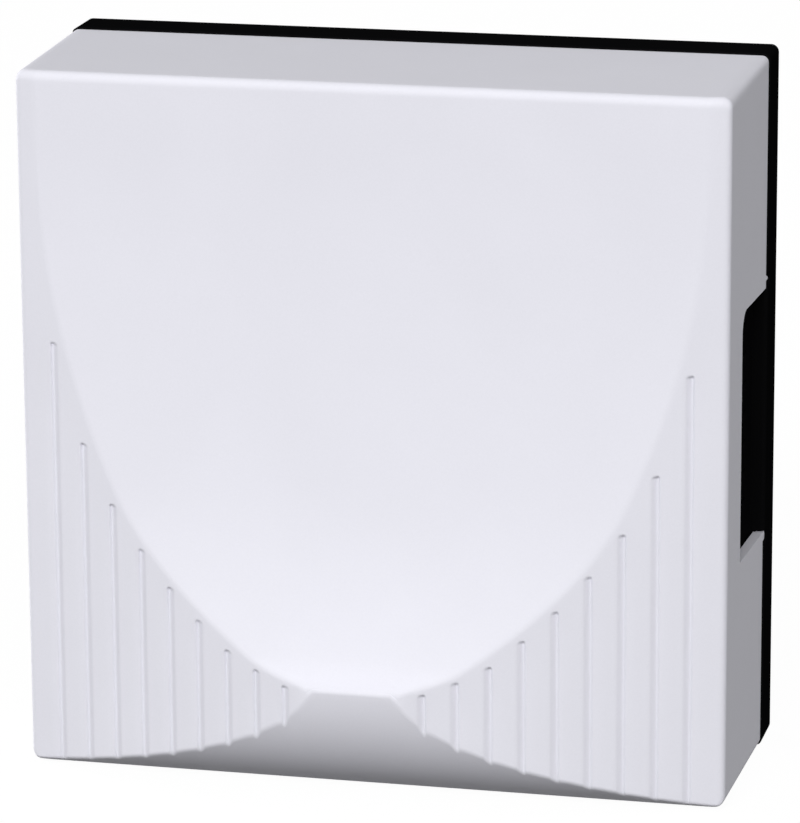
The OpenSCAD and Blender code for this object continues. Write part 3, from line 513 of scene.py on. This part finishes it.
arc_starts = []
curl_angle = 0.0
curl_run = 0.0
lip_depth = edge_depth + panel_rise
for radius, angle in panel_arcs:
    arc_starts.append((curl_run, lip_depth, curl_angle))
    curl_run += radius * (math.sin(angle) - math.sin(curl_angle))
    lip_depth += radius * (math.cos(curl_angle) - math.cos(angle))
    curl_angle = angle
lip_level = -edge_half + lip_height
panel_level = lip_level + curl_run


def panel_front(level):
    """Depth and slope of the panel at a height: flat, then three arcs, then straight on past the lip."""
    below = panel_level - level
    if below <= 0:
        return edge_depth + panel_rise, 0.0
    for (begun, depth, bend), (radius, angle) in zip(arc_starts, panel_arcs):
        sine = math.sin(bend) + (below - begun) / radius
        if sine <= math.sin(angle):
            cosine = math.sqrt(1 - sine * sine)
            return depth + radius * (math.cos(bend) - cosine), sine / cosine
    return lip_depth + (below - curl_run) * math.tan(curl_angle), math.tan(curl_angle)


edge = Vector((edge_depth, -edge_half))
lip = Vector((lip_depth, lip_level))
chord = (lip - edge).length
underside_radius = chord * chord / (8 * underside_bulge) + underside_bulge / 2
across = (lip - edge) / chord
inward = Vector((-across.y, across.x))
underside_centre = (lip + edge) / 2 + (underside_radius - underside_bulge) * inward


def underside_front(level):
    """Depth and slope of the scooped underside at a height: an arc that bulges towards the front."""
    reach = min(max(underside_centre.y - level, 0.0), underside_limit * underside_radius)
    height = math.sqrt(underside_radius ** 2 - reach ** 2)
    return underside_centre.x + height, reach / height


def facet_front(side):
    """Depth of the facet beside the panel at a place, before its grooves are sunk."""
    return edge_depth + facet_slope * (edge_half - abs(side))


def crease_level(side, halvings=40):
    """Height at which the panel meets the facet, found by halving."""
    low, high = lip_level, panel_level
    for step in range(halvings):
        middle = (low + high) / 2
        if panel_front(middle)[0] > facet_front(side):
            low = middle
        else:
            high = middle
    return low


def crease_stretch(side, probe=0.5 * MM, most=6.0):
    """How much longer the crease is than its run across the front."""
    slope = (crease_level(side + probe) - crease_level(side - probe)) / (2 * probe)
    return min(math.hypot(1, slope), most)


grooves = [(groove_first + index * groove_pitch, top * MM) for index, top in enumerate(groove_tops)]


def smooth(low, high, value):
    """Runs from 0 to 1 as a value runs from low to high, without a corner at either end."""
    share = min(max((value - low) / (high - low), 0.0), 1.0)
    return share * share * (3 - 2 * share)


def groove_drop(side, level):
    """How far the grooves sink in: a wide inner wall, a steep outer one, and a faint slope beyond it."""
    drop = 0.0
    for groove_side, groove_top in grooves:
        off = abs(side) - groove_side
        share = off / groove_outer if off > 0 else -off / groove_inner
        if share < 1:
            top = groove_top - groove_round * (1 - math.sqrt(1 - share * share))
            drop += groove_sink * smooth(1.0, 0.0, share) * smooth(top, top - groove_end, level)
        if 0 < off < shoulder_width:
            slope = shoulder_sink * (1 - off / shoulder_width) ** 2 * smooth(0.0, groove_outer, off)
            drop += slope * smooth(groove_top, groove_top - shoulder_end, level)
    return drop


def end_level(side):
    """Height of the grooves' upper ends at a place: level across a groove, and sloping between two."""
    width = abs(side)
    level = grooves[0][1]
    for (near, near_top), (far, far_top) in zip(grooves, grooves[1:]):
        share = (width - near - groove_outer) / (groove_pitch - groove_outer - groove_inner)
        level += min(max(share, 0.0), 1.0) * (far_top - near_top)
    return level


def soft_least(first, second, softness):
    """The lesser of two depths, with the crease between them rounded off."""
    near = max(softness - abs(first - second), 0.0) / softness
    return min(first, second) - near * near * softness / 4


def rim_drop(side, level):
    """How far the front falls back where its rim is rounded into the walls, round the corners too."""
    rim = top_round if level > 0 else bottom_round
    past_side = abs(side) - edge_half + front_corner
    past_level = abs(level) - edge_half + front_corner
    if past_side > 0 and past_level > 0:
        far = math.hypot(past_side, past_level)
        radius = (side_round * past_side ** 2 + rim * past_level ** 2) / far ** 2
    elif past_side > past_level:
        far, radius = past_side, side_round
    else:
        far, radius = past_level, rim
    share = min(max((far - front_corner + radius) / radius, 0.0), 1.0)
    return radius * (1 - math.sqrt(1 - share * share))


def front_depth(side, level):
    """Depth of the cover's front at a place, with its soft creases, grooves and rounded rim."""
    panel, panel_slope = panel_front(level)
    underside, underside_slope = underside_front(level)
    facet = facet_front(side) - groove_drop(side, level)
    lip_line = soft_least(panel, underside, lip_soft)
    if panel < underside:
        softness = crease_width * math.hypot(panel_slope, facet_slope)
    else:
        softness = underside_width * math.hypot(underside_slope, facet_slope)
    return soft_least(lip_line, facet, softness) - rim_drop(side, level)


def between(low, high, count, power=1.0):
    """Heights above low, up to high, that crowd towards low when the power is over 1."""
    return [low + (high - low) * (step / count) ** power for step in range(1, count + 1)]


def rim_steps(radius):
    """Distances from the edge of the mesh's lines across a rounded rim."""
    return [radius * (1 - math.sin(math.radians(angle))) for angle in (90, 78, 64, 50, 36, 20, 0)]


# Rows of the mesh crowd at both creases and at the grooves' ends, and columns at the grooves' walls.
# The rooms are the least distances that keep the rows in order where these come close together.
lower_steps = (-0.5, -0.25, 0.0, 0.25, 0.45, 0.7)
upper_steps = (-0.45, -0.25, 0.0, 0.25, 0.5, 0.8)
crease_reach = 0.7 * MM
crease_lead = 0.8 * MM
lip_room = 0.9 * MM
edge_room = 1.0 * MM
panel_room = 2.0 * MM
facet_room = 0.6 * MM
end_room = 0.08
end_above = 0.2 * MM
end_below = 1.9 * MM
underside_rows = 10
facet_rows = 6
end_rows = 20
upper_rows = 4
panel_rows = 26
panel_crowding = 1.7
panel_columns = 8
panel_step = 1.4 * MM
inner_steps = (1, 0.85, 0.7, 0.57, 0.44, 0.3, 0.15)
outer_steps = (0, 0.25, 0.5, 0.75, 1)
shoulder_steps = (0.6, 0.9, 1.2, 1.6, 2.0, 2.4, 3.2, 4.0)


def rows_at(side):
    """Heights of the mesh's rows at one place: they follow both creases and the grooves' ends."""
    width = abs(side)
    stretch = crease_stretch(width)
    facet = facet_front(width) - groove_drop(width, -edge_half)
    reach = min(max(facet - underside_centre.x, 0.0) / underside_radius, 1.0)
    lower = underside_centre.y - underside_radius * math.sqrt(1 - reach * reach)
    lower = min(lower, lip_level - lip_room)
    lower = max(lower, -edge_half + bottom_round + edge_guard + edge_room)
    panel_high = edge_half - top_round - edge_guard
    upper = min(crease_level(width), panel_high - panel_room - crease_lead * stretch)
    upper = max(upper, lower + crease_reach * (1 + stretch) + facet_room)
    facet_low = lower + crease_reach
    facet_high = upper - crease_reach * stretch
    room = min(end_room * (facet_high - facet_low), facet_room)
    ends_high = min(max(end_level(width) + end_above, facet_low + 2 * room), facet_high - room)
    ends_low = min(max(end_level(width) - end_below, facet_low + room), ends_high - room)
    rows = [-edge_half + step for step in rim_steps(bottom_round)]
    rows += [rows[-1] + edge_guard]
    rows += between(rows[-1], lower - crease_lead, underside_rows)
    rows += [lower + step * MM for step in lower_steps]
    rows += between(facet_low, ends_low, facet_rows)
    rows += between(ends_low, ends_high, end_rows)
    rows += between(ends_high, facet_high, upper_rows)
    rows += [upper + step * stretch * MM for step in upper_steps]
    rows += between(rows[-1], panel_high, panel_rows, panel_crowding)
    return rows + [edge_half - step for step in reversed(rim_steps(top_round))]


columns = [index * panel_step for index in range(panel_columns)]
for side, top in grooves:
    columns += [side - step * groove_inner for step in inner_steps]
    columns += [side + step * groove_outer for step in outer_steps]
    columns += [side + step * MM for step in shoulder_steps]
columns = [column for column in columns if column < edge_half - side_round - 2 * edge_guard]
columns += [edge_half - side_round - edge_guard]
columns += [edge_half - step for step in reversed(rim_steps(side_round))]
columns = [-column for column in reversed(columns[1:])] + columns
rows = {column: rows_at(column) for column in columns}


def rounded(side, level, half, corner):
    """Moves a place in a square outline to its place in that outline with round corners."""
    past_side = abs(side) - half + corner
    past_level = abs(level) - half + corner
    if past_side <= 0 or past_level <= 0:
        return side, level
    new_side = half - corner + past_side * math.sqrt(1 - past_level ** 2 / (2 * corner ** 2))
    new_level = half - corner + past_level * math.sqrt(1 - past_side ** 2 / (2 * corner ** 2))
    return math.copysign(new_side, side), math.copysign(new_level, level)


shell = bmesh.new()
last_column = len(columns) - 1
last_row = len(rows[columns[0]]) - 1
bmesh.ops.create_grid(shell, x_segments=last_column, y_segments=last_row, size=edge_half)
front = {}
for number, vertex in enumerate(shell.verts):
    row, index = divmod(number, len(columns))
    column = columns[index]
    side, height = rounded(column, rows[column][row], edge_half, front_corner)
    vertex.co = (side, -front_depth(side, height), height)
    front[index, row] = vertex

# The walls run back from the front's rim to the seam, with a close row of faces at each end.
loop = ([(index, 0) for index in range(last_column)]
        + [(last_column, row) for row in range(last_row)]
        + [(index, last_row) for index in range(last_column, 0, -1)]
        + [(0, row) for row in range(last_row, 0, -1)])
seam_scale = seam_half / edge_half
rings = [[front[place] for place in loop], [], [], []]
for (index, row), rim in zip(loop, rings[0]):
    column = columns[index]
    side, height = rounded(column * seam_scale, rows[column][row] * seam_scale, seam_half, seam_corner)
    seam = Vector((side, -seam_depth, height))
    guard = 2 * edge_guard / (seam - rim.co).length
    for ring, share in zip(rings[1:], (guard, 1 - guard, 1.0)):
        ring.append(shell.verts.new(rim.co.lerp(seam, share)))
for ahead, behind in zip(rings, rings[1:]):
    for step in range(len(loop)):
        after = (step + 1) % len(loop)
        shell.faces.new((ahead[step], behind[step], behind[after], ahead[after]))
shell.normal_update()
bmesh.ops.recalc_face_normals(shell, faces=shell.faces)

# The notches in both sides are cut along their slanted edges, with one round corner.
notch_top = 22.1 * MM
notch_bottom = -23.8 * MM
notch_slant = 1.1 * MM
notch_depth = 33.4 * MM
notch_round = 4.0 * MM
notch_steps = 8
cut_weld = 0.0001 * MM
side_facing = 0.99
front_clear = 30.0 * MM
slant = notch_slant / (notch_depth - seam_depth)
up_edge = Vector((0, slant, 1)).normalized()
notch_cuts = [
    (Vector((0, -seam_depth, notch_top)), up_edge),
    (Vector((0, -seam_depth, notch_bottom)), -up_edge),
    (Vector((0, -notch_depth, 0)), Vector((0, -1, 0))),
]
round_level = notch_top + notch_slant - (1 + slant) * notch_round
round_centre = Vector((0, -notch_depth + notch_round, round_level))
for step in range(1, notch_steps):
    angle = math.radians(90 * step / notch_steps)
    outward = Vector((0, -math.sin(angle), math.cos(angle)))
    notch_cuts.append((round_centre + outward * notch_round, outward))
for place, outward in notch_cuts:
    walls = [face for face in shell.faces if abs(face.normal.x) > side_facing
             and max(vertex.co.y for vertex in face.verts) > -front_clear]
    cut = walls + list({item for face in walls for item in list(face.edges) + list(face.verts)})
    bmesh.ops.bisect_plane(shell, geom=cut, plane_co=place, plane_no=outward, dist=cut_weld)
opened = [face for face in shell.faces if abs(face.normal.x) > side_facing
          and all((face.calc_center_median() - place).dot(outward) < 0 for place, outward in notch_cuts)]
bmesh.ops.delete(shell, geom=opened, context="FACES")

cover_plastic = moulded_plastic("cover_white", (0.776, 0.774, 0.839), roughness=0.55, specular=0.06,
                                grain=0.4 * MM, grain_depth=0.012 * MM)
cover = new_object("cover_shell", shell, cover_plastic)
cover.data.shade_smooth()
thickness = cover.modifiers.new("wall", "SOLIDIFY")
thickness.thickness = wall
thickness.offset = -1
thickness.use_even_offset = True
soft_edges = cover.modifiers.new("edges", "BEVEL")
soft_edges.width = cut_soft
soft_edges.segments = 2
soft_edges.limit_method = "ANGLE"
soft_edges.angle_limit = cut_angle
soft_edges.harden_normals = True
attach(cover, "cover")
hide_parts("cover")

# Locating pips: four round-ended tabs moulded on the cover's edge, one beyond each end of both notches.
# They drop into recesses in the tray's rim and keep the thin sides in line.
pip_sizes = [(23.6 * MM, 0.4 * MM), (-24.8 * MM, 1.0 * MM)]
pip_thick = 1.5 * MM
pip_back = 2.3 * MM
pip_root = 1.0 * MM
pip_inset = 0.02 * MM
pip_steps = 8
pips = bmesh.new()
for level, pip_half in pip_sizes:
    outline = [(-seam_depth - pip_root, level - pip_half), (-seam_depth - pip_root, level + pip_half)]
    for step in range(pip_steps + 1):
        angle = math.pi * step / pip_steps
        outline.append((-seam_depth + pip_back - pip_half + pip_half * math.sin(angle),
                        level + pip_half * math.cos(angle)))
    inner = pips.faces.new([pips.verts.new((seam_half - pip_thick, y, z)) for y, z in outline])
    grown = bmesh.ops.extrude_face_region(pips, geom=[inner])["geom"]
    bmesh.ops.translate(pips, vec=(pip_thick - pip_inset, 0, 0),
                        verts=[item for item in grown if isinstance(item, bmesh.types.BMVert)])
bmesh.ops.mirror(pips, geom=pips.verts[:] + pips.edges[:] + pips.faces[:], axis="X", merge_dist=0)
bmesh.ops.recalc_face_normals(pips, faces=pips.faces)
pip_edges = [edge for edge in pips.edges if edge.calc_face_angle() > cut_angle]
bmesh.ops.bevel(pips, geom=pip_edges, offset=cut_soft, offset_type="OFFSET", affect="EDGES", segments=2,
                profile=0.5, material=-1)
cover_pips = new_object("cover_pips", pips, cover_plastic)
cover_pips.data.shade_smooth()
cover_pips.data.set_sharp_from_angle(angle=math.radians(40))
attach(cover_pips, "cover")
